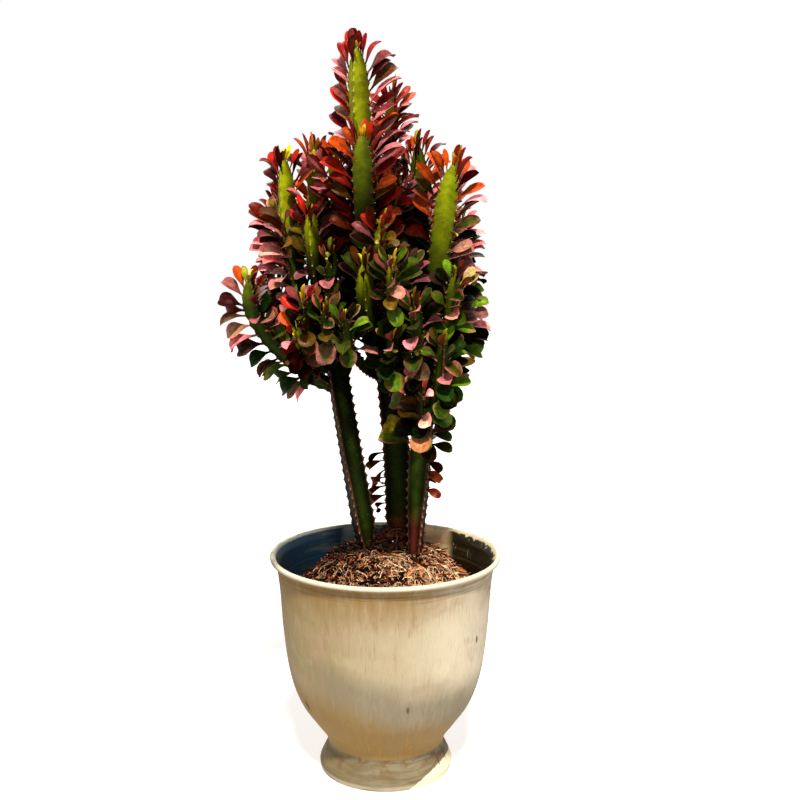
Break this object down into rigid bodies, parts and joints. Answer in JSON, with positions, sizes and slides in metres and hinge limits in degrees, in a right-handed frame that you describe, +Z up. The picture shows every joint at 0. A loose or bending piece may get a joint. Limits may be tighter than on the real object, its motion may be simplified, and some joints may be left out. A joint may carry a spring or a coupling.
{
  "type": "potted euphorbia",
  "caption": "Red-leaved African milk tree with ridged upright stems and a leafy candelabra crown, in bark potting mix in a cream distressed footed urn planter.",
  "frame": {"origin": "where the pot's axis meets the ground", "axes": "+Z up along the pot's axis, -Y towards the side that is seen first, +X to its right"},
  "size_m": [0.3658, 0.3699, 0.9608],
  "materials": {
    "painted_pot": "dark plastic under hand-brushed, distressed cream and ochre paint",
    "potting_mix": "loose bark chips and coir fibre, dry on top",
    "plant": "living plant: satin green ridged stems and semi-gloss burgundy to dark green leaves"
  },
  "bodies": {
    "root": {"pot": "painted_pot", "soil": "potting_mix", "plant_left": "plant", "plant_middle": "plant", "plant_right": "plant"}
  },
  "joints": []
}
